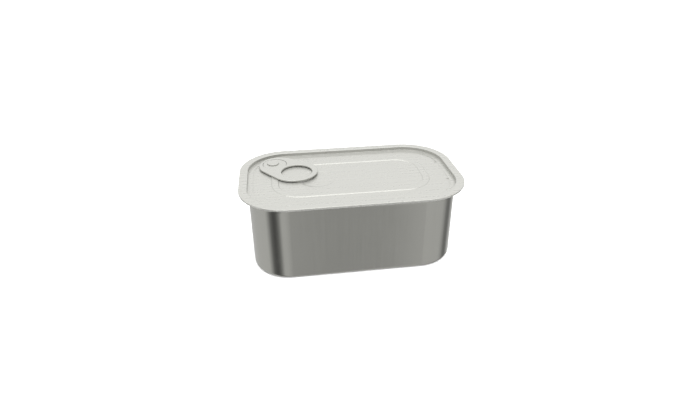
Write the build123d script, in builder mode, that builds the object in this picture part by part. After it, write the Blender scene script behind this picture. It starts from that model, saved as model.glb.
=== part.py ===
from build123d import *
import os
from math import cos, radians, sin, sqrt

# A rounded-rectangle food tin with a ring-pull lid, in millimetres.
# +X runs along the tin, +Z is up, and the origin is the centre of the base, on the table.
# The lid's edge is folded round the flange of a one-piece drawn body. Inside a scored line the
# lid is a panel that tears out: the ring tab riveted to one corner lifts first, and then the
# panel peels back towards the far end, where the last of the score holds it like a hinge.

# ---- sizes -------------------------------------------------------------------------------
length = 105.0          # over the rim
width = 64.0            # over the rim
height = 38.8           # table to the top of the rim
rim_corner = 22.3       # plan radius of the rim's corners

sheet = 0.25            # tinplate of the body, the lid and the tab
lining = 0.2            # sealing compound between the lid and the body's flange
hem_gap = 0.1           # room between the flange and the hem folded below it

wall_inset = 4.4        # outer face of the body wall, in from the rim's edge
flange_inset = 0.45     # edge of the body's flange, in from the rim's edge
flare_radius = 3.6      # outside of the bend between wall and flange
base_round = 1.8        # outside of the bend between wall and base
stand_width = 3.4       # flat ring that the tin stands on
base_lift = 0.8         # middle of the base above the table
step_round = 0.3        # inside of the bends of the step in the base
floor_lap = 1.0         # flat metal swept with the step, before the plain floor begins

hem_width = 1.2         # from the rim's edge to the end of the hem
curl_round = 0.3        # outside of the curl's two bends
chuck_depth = 1.7       # rim top down to the panel
chuck_top_round = 0.3   # round at the top of the inner wall
chuck_foot_round = 0.2  # hollow at the foot of the inner wall
foot_clearance = 0.1    # between the foot of the inner wall and the body's flare
ledge_width = 2.4       # lid metal left inside the inner wall once the panel is gone
score_gap = 0.1         # width of the scored line

bead_end_inset = 14.9   # raised bead's outer foot, in from the rim at the ends
bead_side_inset = 13.5  # the same at the sides
bead_corner = 13.6      # plan radius of the bead's outer foot
bead_band = 3.6         # foot to foot across the bead
bead_slope = 0.5        # plan width of each of its slopes
bead_height = 0.3
bead_round = 0.2        # its bends
bead_apron = 0.8        # flat metal each side of the bead, swept with it

rivet_end_offset = 6.1  # rivet from the centre of the corner's arc, towards the end
rivet_side_offset = 8.0 # the same towards the side
tab_angle = -45.0       # direction from the rivet to the ring, seen from above
boss_height = 0.77      # pad of the panel that the rivet stands on
boss_radius = 3.4
shank_radius = 1.6
rivet_bore = 1.1        # the rivet is drawn up hollow from below
head_radius = 2.95
head_height = 0.55
head_round = 0.3

# Places on the tab run along its centre line, with 0 at the rivet.
tab_clearance = 0.12    # underside of the tab above the bead
tab_thickness = 0.8     # over its rolled edges
tab_edge_round = 0.2
nose_centre = 4.0       # arc of the blunt end
nose_radius = 9.7
ring_centre = 14.4      # arc of the ring end
ring_radius = 11.2
finger_centre = 15.8    # finger hole
finger_radius = 7.5
finger_edge_round = 0.2
window_centre = 1.2     # window round the rivet
window_radius = 5.9
slit = 0.35             # between the window and the tongue that lies in it
outer_roll = 1.3        # widths of the rolled edges, seen from below
finger_roll = 1.1
window_roll = 0.9

dimple_centre = 27.2    # finger dimple, on past the ring's end
dimple_side = 1.5       # and a little to one side of the tab's centre line
dimple_radius = 9.3
dimple_depth = 0.3

# ---- levels and places worked out from the sizes -----------------------------------------
half_sheet = sheet / 2
panel_top = height - chuck_depth
flange_top = height - sheet - lining
flange_bottom = flange_top - sheet
hem_bottom = flange_bottom - hem_gap - sheet
curl_radius = curl_round - half_sheet
step_inset = wall_inset + base_round + stand_width

# The lid's inner wall stands as far out as its foot can go and still clear the body's flare, so
# it moves in as the lid gets deeper. Both places are measured from the centre of the flare.
foot_reach = flare_radius + sheet + foot_clearance + sheet + chuck_foot_round
foot_rise = panel_top + chuck_foot_round - (flange_bottom - flare_radius)
foot_run = sqrt(foot_reach ** 2 - foot_rise ** 2)
chuck_inset = wall_inset - flare_radius + foot_run - chuck_foot_round
score_inset = chuck_inset + ledge_width
panel_inset = score_inset + score_gap

bead_length = length - 2 * bead_end_inset
bead_width = width - 2 * bead_side_inset
bead_plan_corner = min(bead_corner, bead_width / 2 - bead_apron)
bead_crest = panel_top + bead_height

boss_top = panel_top + boss_height
tongue_top = boss_top + sheet
head_top = tongue_top + head_height
tab_bottom = bead_crest + tab_clearance

rivet_x = -(length / 2 - rim_corner) - rivet_end_offset
rivet_y = width / 2 - rim_corner + rivet_side_offset
tab_direction = (cos(radians(tab_angle)), sin(radians(tab_angle)), 0)
tab_plan = Plane(origin=(rivet_x, rivet_y, 0), x_dir=tab_direction, z_dir=(0, 0, 1))


def inset_outline(loop_length, loop_width, corner, inset, mode):
    """A rounded rectangle moved in by the inset, with its corners kept concentric."""
    return RectangleRounded(loop_length - 2 * inset, loop_width - 2 * inset, corner - inset, mode=mode)


def outline(inset, mode=Mode.ADD):
    """The rim's outline in plan, moved in by the inset."""
    return inset_outline(length, width, rim_corner, inset, mode)


def bead_outline(inset, mode=Mode.ADD):
    """The outline of the bead's outer foot, moved in by the inset."""
    return inset_outline(bead_length, bead_width, bead_plan_corner, inset, mode)


def loop(loop_length, loop_width, corner):
    """A closed rounded-rectangle path that starts in the middle of its near side."""
    end, side = loop_length / 2, loop_width / 2
    with BuildLine() as path:
        FilletPolyline((0, -side), (end, -side), (end, side), (0, side), radius=corner)
        mirror(about=Plane.YZ)
    return path.wire()


def bent_sheet(loop_width, points, rounds):
    """Section of sheet metal bent along points given as (distance in from the loop, height)."""
    section_plane = Plane(origin=(0, -loop_width / 2, 0), x_dir=(0, 1, 0), z_dir=(1, 0, 0))
    with BuildSketch(section_plane) as section:
        with BuildLine():
            FilletPolyline(*points, radius=rounds)
            offset(amount=half_sheet)
        make_face()
    return section.sketch


def embossed_sheet(loop_width, points, rounds):
    """Section of sheet metal pressed up from flat, with square ends, along its top's points."""
    section_plane = Plane(origin=(0, -loop_width / 2, 0), x_dir=(0, 1, 0), z_dir=(1, 0, 0))
    under = [(across, level - sheet) for across, level in points]
    with BuildSketch(section_plane) as section:
        with BuildLine():
            FilletPolyline(*points, radius=rounds)
            FilletPolyline(*under, radius=rounds)
            Line(points[0], under[0])
            Line(points[-1], under[-1])
        make_face()
    return section.sketch


rim_path = loop(length, width, rim_corner)
bead_path = loop(bead_length, bead_width, bead_plan_corner)

# ---- can body: one drawn sheet, from the flange down the wall and across the base ---------
wall_line = wall_inset + half_sheet
body_bends = (
    (flange_inset + half_sheet, flange_top - half_sheet),
    (wall_line, flange_top - half_sheet),
    (wall_line, half_sheet),
    (step_inset, half_sheet),
    (step_inset, base_lift + half_sheet),
    (step_inset + step_round + floor_lap, base_lift + half_sheet),
)
body_rounds = (
    flare_radius + half_sheet,
    base_round - half_sheet,
    step_round + half_sheet / 2,
    step_round + half_sheet / 2,
)
with BuildPart() as can_body:
    sweep(sections=bent_sheet(width, body_bends, body_rounds), path=rim_path)
    with BuildSketch(Plane.XY.offset(base_lift)):
        outline(step_inset + step_round + floor_lap / 2)
    extrude(amount=sheet)

# ---- sealing compound: thin gasket between the flange and the lid --------------------------
with BuildPart() as sealing_compound:
    with BuildSketch(Plane.XY.offset(flange_top)):
        outline(flange_inset + half_sheet)
        outline(flange_inset + hem_width, Mode.SUBTRACT)
    extrude(amount=lining)

# ---- lid seam ring: hem, curl, flat rim, inner wall and the ledge up to the score ----------
lid_bends = (
    (hem_width - half_sheet, hem_bottom + half_sheet),
    (half_sheet, hem_bottom + half_sheet),
    (half_sheet, height - half_sheet),
    (chuck_inset - half_sheet, height - half_sheet),
    (chuck_inset - half_sheet, panel_top - half_sheet),
    (score_inset - half_sheet, panel_top - half_sheet),
)
lid_rounds = (
    curl_radius,
    curl_radius,
    chuck_top_round - half_sheet,
    chuck_foot_round + half_sheet,
)
with BuildPart() as lid_seam_ring:
    sweep(sections=bent_sheet(width, lid_bends, lid_rounds), path=rim_path)

# ---- tear panel: flat sheet with a raised bead, a finger dimple and the rivet's boss --------
bead_bends = (
    (-bead_apron, panel_top),
    (0, panel_top),
    (bead_slope, bead_crest),
    (bead_band - bead_slope, bead_crest),
    (bead_band, panel_top),
    (bead_band + bead_apron, panel_top),
)
with BuildPart() as tear_panel:
    sweep(sections=embossed_sheet(bead_width, bead_bends, bead_round), path=bead_path)
    with BuildSketch(Plane.XY.offset(panel_top - sheet)):
        outline(panel_inset)
        bead_outline(-bead_apron, Mode.SUBTRACT)
        bead_outline(bead_band + bead_apron)
    extrude(amount=sheet)
    with BuildSketch(tab_plan.offset(panel_top - sheet)):
        with Locations((dimple_centre, dimple_side)):
            Circle(dimple_radius + sheet)
    extrude(amount=-dimple_depth)
    with BuildSketch(tab_plan.offset(panel_top)):
        with Locations((dimple_centre, dimple_side)):
            Circle(dimple_radius)
    extrude(amount=-dimple_depth, mode=Mode.SUBTRACT)
    with BuildSketch(tab_plan.offset(panel_top)):
        Circle(boss_radius)
    extrude(amount=boss_height)
    with BuildSketch(tab_plan.offset(panel_top - sheet)):
        Circle(boss_radius - sheet)
    extrude(amount=boss_height, mode=Mode.SUBTRACT)
    with BuildSketch(tab_plan.offset(boss_top)):
        Circle(shank_radius)
    extrude(amount=-sheet, mode=Mode.SUBTRACT)

# ---- rivet: hollow shank through boss and tongue, with a round-shouldered head --------------
with BuildPart() as rivet:
    with BuildSketch(tab_plan.offset(boss_top - sheet)):
        Circle(shank_radius)
    extrude(amount=2 * sheet)
    with BuildSketch(tab_plan.offset(tongue_top)):
        Circle(head_radius)
    extrude(amount=head_height)
    fillet(rivet.edges().sort_by(Axis.Z)[-1], head_round)
    with BuildSketch(tab_plan.offset(boss_top - sheet)):
        Circle(rivet_bore)
    extrude(amount=head_top - boss_top, mode=Mode.SUBTRACT)

# ---- rivet tongue: round tongue in the tab's window, clamped between boss and rivet head ----
with BuildPart() as rivet_tongue:
    with BuildSketch(tab_plan.offset(boss_top)):
        with Locations((window_centre, 0)):
            Circle(window_radius - slit)
        Circle(shank_radius, mode=Mode.SUBTRACT)
    extrude(amount=sheet)

# ---- pull tab: egg-shaped ring lever, hollow below between its rolled edges -----------------
with BuildPart() as pull_tab:
    with BuildSketch(tab_plan.offset(tab_bottom)):
        with Locations((nose_centre, 0)):
            Circle(nose_radius)
        with Locations((ring_centre, 0)):
            Circle(ring_radius)
        make_hull()
        with Locations((finger_centre, 0)):
            Circle(finger_radius, mode=Mode.SUBTRACT)
        with Locations((window_centre, 0)):
            Circle(window_radius, mode=Mode.SUBTRACT)
    extrude(amount=tab_thickness)
    flat_edges = pull_tab.faces().filter_by(Axis.Z).edges()
    fillet(flat_edges.filter_by(lambda edge: edge.is_closed), finger_edge_round)
    flat_edges = pull_tab.faces().filter_by(Axis.Z).edges()
    fillet(flat_edges.filter_by(lambda edge: not edge.is_closed), tab_edge_round)
    with BuildSketch(tab_plan.offset(tab_bottom)):
        with Locations((nose_centre, 0)):
            Circle(nose_radius - outer_roll)
        with Locations((ring_centre, 0)):
            Circle(ring_radius - outer_roll)
        make_hull()
        with Locations((finger_centre, 0)):
            Circle(finger_radius + finger_roll, mode=Mode.SUBTRACT)
        with Locations((window_centre, 0)):
            Circle(window_radius + window_roll, mode=Mode.SUBTRACT)
    extrude(amount=tab_thickness - sheet, mode=Mode.SUBTRACT)

# ---- files ----------------------------------------------------------------------------------
os.makedirs("parts", exist_ok=True)
pieces = {
    "can_body": can_body,
    "sealing_compound": sealing_compound,
    "lid_seam_ring": lid_seam_ring,
    "tear_panel": tear_panel,
    "rivet": rivet,
    "rivet_tongue": rivet_tongue,
    "pull_tab": pull_tab,
}
for name, piece in pieces.items():
    piece.part.label = name
    export_step(piece.part, f"parts/{name}.step")
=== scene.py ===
"""Looks for the ring-pull food tin: thin pressed sheet, rolled edges and satin tinplate."""
from math import asin, cos, pi, radians, sin, tan

import bpy
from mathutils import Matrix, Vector
from mathutils.geometry import delaunay_2d_cdt


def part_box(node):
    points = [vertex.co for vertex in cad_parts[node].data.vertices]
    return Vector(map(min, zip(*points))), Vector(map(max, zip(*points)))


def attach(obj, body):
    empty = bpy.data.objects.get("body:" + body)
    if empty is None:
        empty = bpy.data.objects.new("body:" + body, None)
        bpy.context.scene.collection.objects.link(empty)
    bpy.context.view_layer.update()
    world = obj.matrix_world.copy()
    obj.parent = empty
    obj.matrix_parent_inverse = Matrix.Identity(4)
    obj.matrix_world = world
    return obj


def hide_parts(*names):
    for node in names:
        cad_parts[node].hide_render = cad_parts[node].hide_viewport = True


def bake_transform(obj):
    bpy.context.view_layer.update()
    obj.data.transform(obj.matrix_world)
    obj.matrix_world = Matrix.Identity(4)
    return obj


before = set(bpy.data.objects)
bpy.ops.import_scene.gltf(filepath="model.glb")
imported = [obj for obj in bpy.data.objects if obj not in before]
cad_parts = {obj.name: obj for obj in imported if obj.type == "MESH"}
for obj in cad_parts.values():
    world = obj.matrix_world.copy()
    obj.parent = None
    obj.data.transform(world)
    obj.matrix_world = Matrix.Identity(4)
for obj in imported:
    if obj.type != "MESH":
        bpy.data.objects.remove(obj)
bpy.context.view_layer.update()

# ---- sizes in millimetres: boxes come from the frame, bends and rounds are named here ----------
MM = 0.001


def node_box(node):
    """A CAD node's lowest and highest corner in millimetres."""
    low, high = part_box(node)
    return Vector(low) / MM, Vector(high) / MM


_, rim_high = node_box("lid_seam_ring")
_, panel_high = node_box("tear_panel")
_, body_high = node_box("can_body")
rivet_low, rivet_high = node_box("rivet")
tongue_low, tongue_high = node_box("rivet_tongue")
lining_low, _ = node_box("sealing_compound")

SHEET = 0.25
HALF_SHEET = SHEET / 2
RIM_CORNER = 22.3  # plan radius of the rim's corners
END, SIDE, TOP = rim_high.x, rim_high.y, rim_high.z

# Drawn body. Insets run in from the rim's edge.
WALL_INSET = 4.4
FLANGE_INSET = END - body_high.x
FLARE_RADIUS = 3.6
BASE_ROUND = 1.8
STAND_WIDTH = 3.4
BASE_LIFT = 0.8
STEP_ROUND = 0.4  # bends of the step in the base
FLOOR_LAP = 4 * STEP_ROUND

# Lid, from its hem to the edge of the panel
HEM_WIDTH = 1.2
HEM_GAP = 0.1
CURL_ROUND = 0.3
CHUCK_TOP_ROUND = 0.3
CHUCK_FOOT_ROUND = 0.2
LEDGE_WIDTH = 2.4
SCORE_GAP = 0.1
SCORE_HAIRLINE = 0.006  # what shows of the scored line before it tears
SCORE_INSET = END - panel_high.x - SCORE_GAP
CHUCK_INSET = SCORE_INSET - LEDGE_WIDTH
PANEL_INSET = SCORE_INSET + SCORE_HAIRLINE

# Raised bead, from its outer foot to its inner foot
BEAD_END_INSET = 14.9
BEAD_SIDE_INSET = 13.5
BEAD_CORNER = 13.6
BEAD_BAND = 3.6
BEAD_SLOPE = 0.5
BEAD_HEIGHT = 0.3
BEND_CLEARANCE = 0.2  # from the bead's outer foot to the end point of the panel's bend line

# Boss and rivet
BOSS_RADIUS = 3.4
BOSS_SLOPE = 0.5
BOSS_HEIGHT = 0.77
SHANK_RADIUS = 1.6
RIVET_BORE = 1.1
BORE_ROUND = 0.2
HEAD_ROUND = 0.25
HEAD_FOOT = 0.02  # height of the head's sharp lower edge
HEAD_TAPER = 0.12
CROWN_RADIUS = 0.3  # middle of the head, slightly dished
CROWN_DISH = 0.04

# Tongue and dimple. Places run along the tab's centre line, with 0 at the rivet.
TAB_ANGLE = radians(-45)
WINDOW_CENTRE, WINDOW_RADIUS = 1.2, 5.9
SLIT = 0.15
NECK_HALF, NECK_END = 2.4, -4.95
NECK_BEND_START, TAB_HINGE = -4.4, -5.3
TONGUE_ROUND = 0.06
DIMPLE_CENTRE, DIMPLE_SIDE, DIMPLE_RADIUS, DIMPLE_DEPTH = 27.2, 1.5, 9.3, 0.3
DIMPLE_SLOPE = 1.9

RIVET_CENTRE = (rivet_low + rivet_high) / 2
BOSS_TOP = tongue_low.z
TONGUE_TOP = tongue_high.z
PANEL_TOP = BOSS_TOP - BOSS_HEIGHT

# How finely round shapes are cut up, and where shading turns sharp
CORNER_STEPS = 28
BEND_STEPS = 7
SLOPE_STEPS = 8
RIVET_STEPS = 48
DIMPLE_STEPS = 96
TONGUE_STEPS = 60
TONGUE_HOLE_STEPS = 40
BORDER_GRID, FIELD_GRID = 1.6, 3.0  # spacing of points on the flats outside and inside the bead
MERGE_DISTANCE = 1e-5
SHARP_EDGE = radians(50)


# ---- plan outlines: closed lists of (x, y) -----------------------------------------------------
def rounded_outline(end, side, corner):
    """A rounded rectangle about the origin, anticlockwise from its near side."""
    points = []
    arcs = ((1, -1, -90), (1, 1, 0), (-1, 1, 90), (-1, -1, 180))
    for sign_x, sign_y, first in arcs:
        centre_x, centre_y = sign_x * (end - corner), sign_y * (side - corner)
        for step in range(CORNER_STEPS + 1):
            angle = radians(first + 90 * step / CORNER_STEPS)
            points.append((centre_x + corner * cos(angle), centre_y + corner * sin(angle)))
    return points


def rim_outline(inset):
    """The rim's outline moved in by the inset."""
    return rounded_outline(END - inset, SIDE - inset, RIM_CORNER - inset)


def bead_outline(inset):
    """The bead's outer foot moved in by the inset."""
    end = END - BEAD_END_INSET - inset
    side = SIDE - BEAD_SIDE_INSET - inset
    return rounded_outline(end, side, BEAD_CORNER - inset)


def on_tab(along, across=0.0):
    """A place along the tab's centre line from the rivet, and across it, as (x, y)."""
    x = RIVET_CENTRE.x + along * cos(TAB_ANGLE) - across * sin(TAB_ANGLE)
    y = RIVET_CENTRE.y + along * sin(TAB_ANGLE) + across * cos(TAB_ANGLE)
    return x, y


def circle_outline(centre, radius, steps):
    """A circle about a place in plan."""
    angles = [2 * pi * step / steps for step in range(steps)]
    return [(centre[0] + radius * cos(a), centre[1] + radius * sin(a)) for a in angles]


def inset_circle(centre, radius, steps):
    """The circle's outline as a function of how far it is moved in."""
    return lambda inset: circle_outline(centre, radius - inset, steps)


# ---- sections: lists of (distance in, height) --------------------------------------------------
def bend_line(points, rounds):
    """A line through the points with each inner corner turned into an arc."""
    line = [Vector(points[0])]
    for before, corner, after, radius in zip(points, points[1:], points[2:], rounds):
        corner = Vector(corner)
        back = (Vector(before) - corner).normalized()
        ahead = (Vector(after) - corner).normalized()
        half = back.angle(ahead) / 2
        centre = corner + (back + ahead).normalized() * radius / sin(half)
        start = corner + back * radius / tan(half) - centre
        turn = start.angle_signed(corner + ahead * radius / tan(half) - centre)
        for step in range(BEND_STEPS + 1):
            angle = -turn * step / BEND_STEPS
            x = start.x * cos(angle) - start.y * sin(angle)
            y = start.x * sin(angle) + start.y * cos(angle)
            line.append(centre + Vector((x, y)))
    line.append(Vector(points[-1]))
    return line


def skins(line, thickness):
    """The two faces of a sheet whose middle follows the line: left of it, then right of it."""
    left, right = [], []
    for index, point in enumerate(line):
        before = line[max(index - 1, 0)]
        after = line[min(index + 1, len(line) - 1)]
        ahead = (after - before).normalized()
        normal = Vector((-ahead.y, ahead.x)) * thickness / 2
        left.append(point + normal)
        right.append(point - normal)
    return left, right


def slope(run, foot, rise):
    """A smooth slope that starts at the foot's height and ends level after the run."""
    section = []
    for step in range(SLOPE_STEPS + 1):
        share = step / SLOPE_STEPS
        section.append((share * run, foot + rise * (1 - cos(pi * share)) / 2))
    return section


# ---- mesh building -----------------------------------------------------------------------------
class Sheet:
    """Collects the points and faces of one piece, from outlines and heights in millimetres.

    Faces marked inside take the piece's second material.
    """

    def __init__(self):
        self.points = []
        self.faces = []
        self.inside = []

    def loop(self, outline, height):
        """Adds a closed ring of points."""
        first = len(self.points)
        self.points += [(x * MM, y * MM, height * MM) for x, y in outline]
        return list(range(first, len(self.points)))

    def strip(self, lower, upper, flip=False, inside=False):
        """Faces between two rings of the same length."""
        count = len(lower)
        for index in range(count):
            after = (index + 1) % count
            face = [lower[index], lower[after], upper[after], upper[index]]
            self.faces.append(face[::-1] if flip else face)
            self.inside.append(inside)

    def lathe(self, outline, section, flip=False, inside=False):
        """Rings at each (distance in, height) of a section, joined by strips."""
        rings = [self.loop(outline(inset), height) for inset, height in section]
        for lower, upper in zip(rings, rings[1:]):
            self.strip(lower, upper, flip, inside)
        return rings

    def cap(self, ring, flip=False, inside=False):
        """One flat face across a ring."""
        self.faces.append(list(reversed(ring)) if flip else list(ring))
        self.inside.append(inside)

    def fill(self, outer, holes, height, flip=False, spacing=None, inside=False):
        """Triangles between an outer ring and the rings inside it, with an optional grid of points."""
        rings = [outer, *holes]
        used = [index for ring in rings for index in ring]
        flat = [Vector((self.points[i][0] / MM, self.points[i][1] / MM)) for i in used]
        edges, first = [], 0
        for ring in rings:
            count = len(ring)
            edges += [(first + k, first + (k + 1) % count) for k in range(count)]
            first += count
        polygons = [[Vector(self.points[i][:2]) / MM for i in ring] for ring in rings]
        if spacing:
            flat += grid_points(polygons, spacing)
        made, _, triangles, origins, _, _ = delaunay_2d_cdt(flat, edges, [], 1, MERGE_DISTANCE)
        lookup = []
        for point, sources in zip(made, origins):
            if sources and sources[0] < len(used):
                lookup.append(used[sources[0]])
                continue
            self.points.append((point.x * MM, point.y * MM, height * MM))
            lookup.append(len(self.points) - 1)
        for triangle in triangles:
            middle = sum((made[i] for i in triangle), Vector((0, 0))) / 3
            if within(middle, polygons[0]) and not any(within(middle, p) for p in polygons[1:]):
                face = [lookup[i] for i in triangle]
                self.faces.append(face[::-1] if flip else face)
                self.inside.append(inside)

    def build(self, name, nodes, materials, body=None, blend=None):
        """Makes the object, shades it smooth and hands it to the frame on one body; when a blend is
        given, it only bakes its transform.
        """
        mesh = bpy.data.meshes.new(name)
        mesh.from_pydata(self.points, [], self.faces)
        mesh.validate()
        for material in materials:
            mesh.materials.append(material)
        if len(materials) > 1:
            mesh.polygons.foreach_set("material_index", [int(flag) for flag in self.inside])
        mesh.shade_smooth()
        mesh.set_sharp_from_angle(angle=SHARP_EDGE)
        piece = bpy.data.objects.new(name, mesh)
        bpy.context.scene.collection.objects.link(piece)
        weighted = piece.modifiers.new("even_shading", "WEIGHTED_NORMAL")
        weighted.mode = "FACE_AREA"
        weighted.weight = 60
        if blend:
            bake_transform(piece)
        else:
            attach(piece, body)
        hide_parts(*nodes)


def within(point, polygon):
    """Whether a point in plan lies inside a polygon."""
    hit = False
    for a, b in zip(polygon, polygon[1:] + polygon[:1]):
        if (a.y > point.y) != (b.y > point.y):
            if point.x < (b.x - a.x) * (point.y - a.y) / (b.y - a.y) + a.x:
                hit = not hit
    return hit


def grid_points(polygons, spacing):
    """Points of an even grid that are clear of every ring by about half a step."""
    outer = polygons[0]
    low_x, high_x = min(p.x for p in outer), max(p.x for p in outer)
    low_y, high_y = min(p.y for p in outer), max(p.y for p in outer)
    ring_points = [p for polygon in polygons for p in polygon]
    points = []
    for column in range(int((high_x - low_x) / spacing) + 1):
        for row in range(int((high_y - low_y) / spacing) + 1):
            spot = Vector((low_x + (column + 0.5) * spacing, low_y + (row + 0.5) * spacing))
            if not within(spot, outer) or any(within(spot, p) for p in polygons[1:]):
                continue
            if min((spot - p).length_squared for p in ring_points) > (spacing / 2) ** 2:
                points.append(spot)
    return points


# ---- materials ---------------------------------------------------------------------------------
def tinplate(name, colour, roughness, stretch, mottling, scratches, relief, metallic=1.0, coat=0.0):
    """Satin tinplate: a fine grain drawn out along one way, soft mottling and a few hairlines."""
    material = bpy.data.materials.new(name)
    material.use_nodes = True
    nodes, links = material.node_tree.nodes, material.node_tree.links
    shader = nodes["Principled BSDF"]
    shader.inputs["Metallic"].default_value = metallic
    shader.inputs["Anisotropic"].default_value = 0.25
    shader.inputs["Coat Weight"].default_value = coat
    shader.inputs["Coat Roughness"].default_value = 0.15
    place = nodes.new("ShaderNodeTexCoord")

    def noise(scale, size, detail):
        mapping = nodes.new("ShaderNodeMapping")
        mapping.inputs["Scale"].default_value = scale
        links.new(place.outputs["Object"], mapping.inputs["Vector"])
        texture = nodes.new("ShaderNodeTexNoise")
        texture.inputs["Scale"].default_value = size
        texture.inputs["Detail"].default_value = detail
        links.new(mapping.outputs["Vector"], texture.inputs["Vector"])
        return texture.outputs["Fac"]

    def spread(value, low, high, start=0.3, stop=0.7):
        remap = nodes.new("ShaderNodeMapRange")
        remap.inputs["From Min"].default_value = start
        remap.inputs["From Max"].default_value = stop
        remap.inputs["To Min"].default_value = low
        remap.inputs["To Max"].default_value = high
        links.new(value, remap.inputs["Value"])
        return remap.outputs["Result"]

    def combine(operation, first, second):
        node = nodes.new("ShaderNodeMath")
        node.operation = operation
        links.new(first, node.inputs[0])
        links.new(second, node.inputs[1])
        return node.outputs["Value"]

    even = (1, 1, 1)
    longer = [share * 0.4 + 0.02 for share in stretch]
    grain = noise(stretch, size=900, detail=4)
    cloud = noise(even, size=60, detail=3)
    fleck = noise(even, size=420, detail=2)
    hairline = noise(longer, size=2400, detail=1)

    shade = combine("MULTIPLY", spread(cloud, 1 - mottling, 1 + mottling), spread(grain, 0.99, 1.01))
    tint = nodes.new("ShaderNodeVectorMath")
    tint.operation = "SCALE"
    tint.inputs[0].default_value = colour
    links.new(shade, tint.inputs["Scale"])
    links.new(tint.outputs["Vector"], shader.inputs["Base Color"])

    grained = spread(grain, roughness - 0.03, roughness + 0.03)
    flecked = combine("ADD", grained, spread(fleck, -0.015, 0.015))
    scratched = combine("ADD", flecked, spread(hairline, 0.0, scratches, start=0.66, stop=0.74))
    links.new(scratched, shader.inputs["Roughness"])

    bump = nodes.new("ShaderNodeBump")
    bump.inputs["Strength"].default_value = relief
    bump.inputs["Distance"].default_value = 0.00002
    links.new(combine("ADD", grain, cloud), bump.inputs["Height"])
    links.new(bump.outputs["Normal"], shader.inputs["Normal"])
    return material


def compound(name, colour):
    """Matt sealing compound with a faint grain."""
    material = bpy.data.materials.new(name)
    material.use_nodes = True
    nodes, links = material.node_tree.nodes, material.node_tree.links
    shader = nodes["Principled BSDF"]
    place = nodes.new("ShaderNodeTexCoord")
    texture = nodes.new("ShaderNodeTexNoise")
    texture.inputs["Scale"].default_value = 1500
    links.new(place.outputs["Object"], texture.inputs["Vector"])
    ramp = nodes.new("ShaderNodeValToRGB")
    ramp.color_ramp.elements[0].color = [c * 0.85 for c in colour] + [1]
    ramp.color_ramp.elements[1].color = [*colour, 1]
    links.new(texture.outputs["Fac"], ramp.inputs["Fac"])
    links.new(ramp.outputs["Color"], shader.inputs["Base Color"])
    shader.inputs["Roughness"].default_value = 0.7
    bump = nodes.new("ShaderNodeBump")
    bump.inputs["Strength"].default_value = 0.2
    bump.inputs["Distance"].default_value = 0.00005
    links.new(texture.outputs["Fac"], bump.inputs["Height"])
    links.new(bump.outputs["Normal"], shader.inputs["Normal"])
    return material


BODY_COLOUR = (0.60, 0.60, 0.555)
LID_COLOUR = (0.438, 0.438, 0.411)
LID_METALLIC = 0.6  # the lid and the tab are duller than the body
LACQUER_COLOUR = (0.62, 0.56, 0.42)
GASKET_COLOUR = (0.42, 0.38, 0.3)
body_metal = tinplate(
    "drawn_tinplate",
    BODY_COLOUR,
    roughness=0.14,
    stretch=(1, 1, 0.03),
    mottling=0.012,
    scratches=0.03,
    relief=0.03,
)
lid_metal = tinplate(
    "rolled_tinplate",
    LID_COLOUR,
    roughness=0.29,
    stretch=(0.03, 1, 1),
    mottling=0.008,
    scratches=0.015,
    relief=0.006,
    metallic=LID_METALLIC,
)
tab_metal = tinplate(
    "tab_tinplate",
    LID_COLOUR,
    roughness=0.25,
    stretch=(0.04, 1, 1),
    mottling=0.008,
    scratches=0.015,
    relief=0.006,
    metallic=LID_METALLIC,
)
lacquer = tinplate(
    "lacquered_tinplate",
    LACQUER_COLOUR,
    roughness=0.3,
    stretch=(1, 1, 0.05),
    mottling=0.03,
    scratches=0.05,
    relief=0.03,
    coat=0.4,
)
gasket = compound("sealing_compound", GASKET_COLOUR)


# ---- can body ----------------------------------------------------------------------------------
def make_body():
    """The drawn body: flange, flare, wall, standing ring and raised floor, in and out."""
    wall = WALL_INSET + HALF_SHEET
    step = WALL_INSET + BASE_ROUND + STAND_WIDTH
    flange = body_high.z - HALF_SHEET
    points = (
        (FLANGE_INSET, flange),
        (wall, flange),
        (wall, HALF_SHEET),
        (step, HALF_SHEET),
        (step, BASE_LIFT + HALF_SHEET),
        (step + FLOOR_LAP, BASE_LIFT + HALF_SHEET),
    )
    rounds = (FLARE_RADIUS + HALF_SHEET, BASE_ROUND - HALF_SHEET, STEP_ROUND, STEP_ROUND)
    inner, outer = skins(bend_line(points, rounds), SHEET)
    sheet = Sheet()
    inner_rings = sheet.lathe(rim_outline, inner, inside=True)
    outer_rings = sheet.lathe(rim_outline, outer, flip=True)
    sheet.strip(outer_rings[0], inner_rings[0])
    sheet.cap(inner_rings[-1], inside=True)
    sheet.cap(outer_rings[-1], flip=True)
    sheet.build("drawn_body", ["can_body"], (body_metal, lacquer), body="tin")


# ---- lid seam ring -----------------------------------------------------------------------------
def make_seam_ring():
    """Hem, curl, flat rim, inner wall and ledge, as one bent sheet."""
    hem = lining_low.z - 2 * SHEET - HEM_GAP + HALF_SHEET
    curl = CURL_ROUND - HALF_SHEET
    points = (
        (HEM_WIDTH, hem),
        (HALF_SHEET, hem),
        (HALF_SHEET, TOP - HALF_SHEET),
        (CHUCK_INSET - HALF_SHEET, TOP - HALF_SHEET),
        (CHUCK_INSET - HALF_SHEET, PANEL_TOP - HALF_SHEET),
        (SCORE_INSET, PANEL_TOP - HALF_SHEET),
    )
    rounds = (curl, curl, CHUCK_TOP_ROUND - HALF_SHEET, CHUCK_FOOT_ROUND + HALF_SHEET)
    outside, under = skins(bend_line(points, rounds), SHEET)
    sheet = Sheet()
    outer_rings = sheet.lathe(rim_outline, outside)
    under_rings = sheet.lathe(rim_outline, under, flip=True)
    sheet.strip(under_rings[0], outer_rings[0])
    sheet.strip(outer_rings[-1], under_rings[-1])
    sheet.build("lid_rim", ["lid_seam_ring"], (lid_metal,), body="tin")


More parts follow.
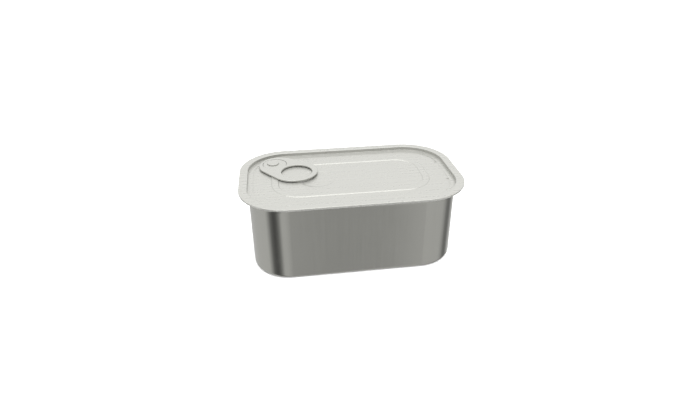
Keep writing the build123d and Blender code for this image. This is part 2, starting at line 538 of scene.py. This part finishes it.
# ---- tear panel --------------------------------------------------------------------------------
def make_panel():
    """The panel's two faces: bead, dimple and boss, joined round its edge and the rivet's hole."""
    sheet = Sheet()
    dimple_centre = on_tab(DIMPLE_CENTRE, DIMPLE_SIDE)
    dimple = inset_circle(dimple_centre, DIMPLE_RADIUS, DIMPLE_STEPS)
    boss_height = BOSS_TOP - PANEL_TOP
    edges = []
    for level, flip, lacquered in ((0.0, False, False), (-SHEET, True, True)):
        ground = PANEL_TOP + level
        boss_radius = BOSS_RADIUS + level / 2
        boss = inset_circle(on_tab(0), boss_radius, RIVET_STEPS)
        outer_slope = slope(BEAD_SLOPE, ground, BEAD_HEIGHT)
        inner_slope = [(BEAD_BAND - inset, height) for inset, height in reversed(outer_slope)]
        boss_slope = slope(BOSS_SLOPE, ground, boss_height)
        boss_pad = (boss_radius - SHANK_RADIUS, ground + boss_height)
        dimple_slope = slope(DIMPLE_SLOPE, ground, -DIMPLE_DEPTH)

        edge = sheet.loop(rim_outline(PANEL_INSET), ground)
        bead_rings = sheet.lathe(bead_outline, outer_slope + inner_slope, flip, lacquered)
        boss_rings = sheet.lathe(boss, [*boss_slope, boss_pad], flip, lacquered)
        dimple_rings = sheet.lathe(dimple, dimple_slope, flip, lacquered)
        dimple_floor = ground - DIMPLE_DEPTH
        sheet.fill(dimple_rings[-1], [], dimple_floor, flip, FIELD_GRID, lacquered)
        sheet.fill(edge, [bead_rings[0], boss_rings[0]], ground, flip, BORDER_GRID, lacquered)
        sheet.fill(bead_rings[-1], [dimple_rings[0]], ground, flip, FIELD_GRID, lacquered)
        edges.append((edge, boss_rings[-1]))
    (top_edge, top_hole), (low_edge, low_hole) = edges
    sheet.strip(low_edge, top_edge)
    sheet.strip(top_hole, low_hole)
    hinge = Vector((END - PANEL_INSET, 0, PANEL_TOP)) * MM
    bend_end = Vector((END - BEAD_END_INSET + BEND_CLEARANCE, 0, PANEL_TOP)) * MM
    blend = ("tin", "panel", hinge, bend_end)
    sheet.build("lid_panel", ["tear_panel"], (lid_metal, lacquer), blend=blend)


# ---- rivet, tongue and tab ---------------------------------------------------------------------
def make_rivet():
    """The hollow rivet: bore, shank and a round-shouldered head."""
    head_radius = (rivet_high.x - rivet_low.x) / 2
    foot, top = rivet_low.z, rivet_high.z
    outside = bend_line(
        (
            (SHANK_RADIUS, foot),
            (SHANK_RADIUS, TONGUE_TOP),
            (head_radius, TONGUE_TOP + HEAD_FOOT),
            (head_radius - HEAD_TAPER, top),
            (CROWN_RADIUS, top - CROWN_DISH),
        ),
        (HEAD_FOOT, HEAD_TAPER, HEAD_ROUND),
    )
    bore = bend_line(
        ((RIVET_BORE, foot), (RIVET_BORE, top - SHEET), (CROWN_RADIUS, top - SHEET)),
        (BORE_ROUND,),
    )
    sheet = Sheet()

    def ring(radius):
        return circle_outline(on_tab(0), radius, RIVET_STEPS)

    head = sheet.lathe(ring, outside)
    hollow = sheet.lathe(ring, bore, flip=True)
    sheet.cap(head[-1])
    sheet.cap(hollow[-1], flip=True)
    sheet.strip(hollow[0], head[0])
    sheet.build("rivet_button", ["rivet"], (lid_metal,), body="panel")


def make_tongue():
    """The round tongue in the tab's window, with the neck that runs under the tab's nose."""
    radius = WINDOW_RADIUS - SLIT
    start = asin(NECK_HALF / radius)
    outline = []
    for step in range(TONGUE_STEPS + 1):
        angle = -pi + start + (2 * pi - 2 * start) * step / TONGUE_STEPS
        outline.append(on_tab(WINDOW_CENTRE + radius * cos(angle), radius * sin(angle)))
    outline.append(on_tab(NECK_END, NECK_HALF))
    outline.append(on_tab(NECK_END, -NECK_HALF))
    sheet = Sheet()

    def inset_outline(inset):
        middle = Vector(on_tab(WINDOW_CENTRE))
        return [tuple(middle + (Vector(p) - middle) * (1 - inset / radius)) for p in outline]

    lap = TONGUE_ROUND * 2
    section = bend_line(
        ((lap, TONGUE_TOP), (0, TONGUE_TOP), (0, BOSS_TOP), (lap, BOSS_TOP)),
        (TONGUE_ROUND, TONGUE_ROUND),
    )
    rings = sheet.lathe(inset_outline, section, flip=True)
    hole = circle_outline(on_tab(0), SHANK_RADIUS, TONGUE_HOLE_STEPS)
    top_hole = sheet.loop(hole, TONGUE_TOP)
    low_hole = sheet.loop(hole, BOSS_TOP)
    sheet.strip(top_hole, low_hole)
    sheet.fill(rings[0], [top_hole], TONGUE_TOP)
    sheet.fill(rings[-1], [low_hole], BOSS_TOP, flip=True)
    bend_start = Vector((*on_tab(NECK_BEND_START), TONGUE_TOP)) * MM
    bend_end = Vector((*on_tab(TAB_HINGE), TONGUE_TOP)) * MM
    blend = ("panel", "tab", bend_start, bend_end)
    sheet.build("tab_tongue", ["rivet_tongue"], (tab_metal,), blend=blend)


make_body()
make_seam_ring()
make_panel()
make_rivet()
make_tongue()
for node, material in (("sealing_compound", gasket), ("pull_tab", tab_metal)):
    for material_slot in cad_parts[node].material_slots:
        material_slot.material = material


# ---- studio ------------------------------------------------------------------------------------
# Brightness round the room below the horizon, by degrees from the near side (+X side positive).
LOW_BANDS = (
    (-180, 0.60),
    (-150, 0.58),
    (-76, 0.58),
    (-68, 0.40),
    (-60, 0.17),
    (-50, 0.09),
    (-42, 0.12),
    (-33, 0.28),
    (-26, 0.54),
    (-16, 0.54),
    (-4, 0.46),
    (4, 0.38),
    (14, 0.38),
    (20, 0.54),
    (76, 0.53),
    (88, 0.40),
    (97, 0.23),
    (108, 0.19),
    (118, 0.30),
    (130, 0.58),
    (180, 0.60),
)
# Brightness of the walls from the near side to the far side, and of the ceiling from its edge up.
WALLS = ((0.0, 0.62), (0.35, 0.72), (0.65, 0.96), (1.0, 1.03))
CEILING = ((0.0, 1.9), (1.0, 2.1))
# Heights, as sines of elevation, over which the low bands turn to wall and the wall to ceiling.
HORIZON_LOW, HORIZON_HIGH = -0.22, 0.44
CEILING_START, CEILING_FULL = 0.76, 0.92

# The floor, the backdrop, the lamp and the camera are in metres.
STAGE_REACH = 5.0
BACKDROP_FOOT, BACKDROP_TOP = -0.1, STAGE_REACH / 2
BACKDROP_GLOW = 1.0
STAGE_STEPS = 64
LAMP_PLACE, LAMP_TARGET = Vector((0, -0.25, 0.9)), Vector((0, 0, 0.02))
LAMP_SIZE, LAMP_POWER = 1.2, 16
CAMERA_AZIMUTH, CAMERA_ELEVATION = radians(-8.6), radians(29.4)
CAMERA_DISTANCE = 0.2503
VIEW_HEIGHT = radians(45)
PICTURE_WIDTH, PICTURE_HEIGHT = 700, 416
SENSOR_WIDTH = 36.0


def emission(name, colour, strength):
    """A plain glowing material."""
    material = bpy.data.materials.new(name)
    material.use_nodes = True
    nodes, links = material.node_tree.nodes, material.node_tree.links
    nodes.remove(nodes["Principled BSDF"])
    glow = nodes.new("ShaderNodeEmission")
    glow.inputs["Color"].default_value = (*colour, 1)
    glow.inputs["Strength"].default_value = strength
    links.new(glow.outputs["Emission"], nodes["Material Output"].inputs["Surface"])
    return material


def stage_ring(height):
    """Points of a wide circle at a height."""
    angles = [2 * pi * step / STAGE_STEPS for step in range(STAGE_STEPS)]
    return [(STAGE_REACH * cos(a), STAGE_REACH * sin(a), height) for a in angles]


def stage_piece(name, points, faces, material):
    """A piece of the stage, which the metal doesn't mirror."""
    mesh = bpy.data.meshes.new(name)
    mesh.from_pydata(points, [], faces)
    mesh.materials.append(material)
    piece = bpy.data.objects.new(name, mesh)
    bpy.context.scene.collection.objects.link(piece)
    piece.visible_glossy = False
    return piece


def make_stage():
    """A wide pale floor and a plain white backdrop all round it."""
    pale = bpy.data.materials.new("pale_floor")
    pale.use_nodes = True
    shader = pale.node_tree.nodes["Principled BSDF"]
    shader.inputs["Base Color"].default_value = (0.92, 0.92, 0.92, 1)
    shader.inputs["Roughness"].default_value = 0.9
    shader.inputs["Specular IOR Level"].default_value = 0.0
    stage_piece("floor", stage_ring(0), [tuple(range(STAGE_STEPS))], pale)
    white = emission("white_backdrop", (1, 1, 1), BACKDROP_GLOW)
    sides = []
    for low in range(STAGE_STEPS):
        after = (low + 1) % STAGE_STEPS
        sides.append((low, after, STAGE_STEPS + after, STAGE_STEPS + low))
    points = stage_ring(BACKDROP_FOOT) + stage_ring(BACKDROP_TOP)
    backdrop = stage_piece("backdrop", points, sides, white)
    backdrop.visible_diffuse = False
    backdrop.visible_shadow = False


def make_lamp():
    """A soft square lamp over the tin, which lights the floor and doesn't show in the metal."""
    light = bpy.data.lights.new("overhead", "AREA")
    light.shape = "SQUARE"
    light.size = LAMP_SIZE
    light.energy = LAMP_POWER
    lamp = bpy.data.objects.new("overhead", light)
    lamp.location = LAMP_PLACE
    lamp.rotation_mode = "QUATERNION"
    lamp.rotation_quaternion = (LAMP_TARGET - LAMP_PLACE).to_track_quat("-Z", "Y")
    lamp.visible_glossy = False
    bpy.context.scene.collection.objects.link(lamp)


def make_world():
    """Studio surroundings: a bright ceiling, pale walls, and grey bands low down for the metal."""
    world = bpy.data.worlds.new("studio")
    world.use_nodes = True
    bpy.context.scene.world = world
    nodes, links = world.node_tree.nodes, world.node_tree.links
    background = nodes["Background"]
    place = nodes.new("ShaderNodeTexCoord")
    split = nodes.new("ShaderNodeSeparateXYZ")
    links.new(place.outputs["Generated"], split.inputs["Vector"])
    x, y, z = split.outputs

    def maths(operation, first, second=None):
        node = nodes.new("ShaderNodeMath")
        node.operation = operation
        for socket, value in zip(node.inputs, (first, second)):
            if isinstance(value, float):
                socket.default_value = value
            elif value is not None:
                links.new(value, socket)
        return node.outputs["Value"]

    def ramp(value, stops):
        node = nodes.new("ShaderNodeValToRGB")
        links.new(value, node.inputs["Fac"])
        elements = node.color_ramp.elements
        for _ in range(len(stops) - 2):
            elements.new(0.5)
        for element, (position, level) in zip(elements, stops):
            element.position = position
            element.color = (level, level, level, 1)
        return node.outputs["Color"]

    def blend(share, first, second):
        node = nodes.new("ShaderNodeMix")
        node.data_type = "RGBA"
        links.new(share, node.inputs["Factor"])
        links.new(first, node.inputs["A"])
        links.new(second, node.inputs["B"])
        return node.outputs["Result"]

    def rise(low, high):
        node = nodes.new("ShaderNodeMapRange")
        node.interpolation_type = "SMOOTHSTEP"
        node.inputs["From Min"].default_value = low
        node.inputs["From Max"].default_value = high
        links.new(z, node.inputs["Value"])
        return node.outputs["Result"]

    turn = maths("ARCTAN2", x, maths("MULTIPLY", y, -1.0))
    round_the_room = maths("ADD", maths("DIVIDE", turn, 2 * pi), 0.5)
    low_bands = ramp(round_the_room, [(0.5 + azimuth / 360, level) for azimuth, level in LOW_BANDS])
    far_side = maths("ADD", maths("MULTIPLY", y, 0.5), 0.5)
    walls = ramp(far_side, WALLS)
    ceiling = ramp(z, CEILING)
    upper = blend(rise(CEILING_START, CEILING_FULL), walls, ceiling)
    links.new(blend(rise(HORIZON_LOW, HORIZON_HIGH), low_bands, upper), background.inputs["Color"])
    background.inputs["Strength"].default_value = 1.0


def make_camera():
    """The main view, from close by and above, with the tin's near left corner towards it."""
    level = cos(CAMERA_ELEVATION)
    back = Vector(
        (sin(CAMERA_AZIMUTH) * level, -cos(CAMERA_AZIMUTH) * level, sin(CAMERA_ELEVATION))
    )
    data = bpy.data.cameras.new("camera")
    data.sensor_width = SENSOR_WIDTH
    data.lens = SENSOR_WIDTH * PICTURE_HEIGHT / PICTURE_WIDTH / 2 / tan(VIEW_HEIGHT / 2)
    data.clip_start, data.clip_end = 0.01, 50
    camera = bpy.data.objects.new("camera", data)
    camera.location = Vector((0, 0, TOP / 2 * MM)) + back * CAMERA_DISTANCE
    camera.rotation_mode = "QUATERNION"
    camera.rotation_quaternion = (-back).to_track_quat("-Z", "Y")
    bpy.context.scene.collection.objects.link(camera)
    bpy.context.scene.camera = camera


make_stage()
make_world()
make_lamp()
make_camera()
bpy.context.scene.view_settings.view_transform = "Standard"
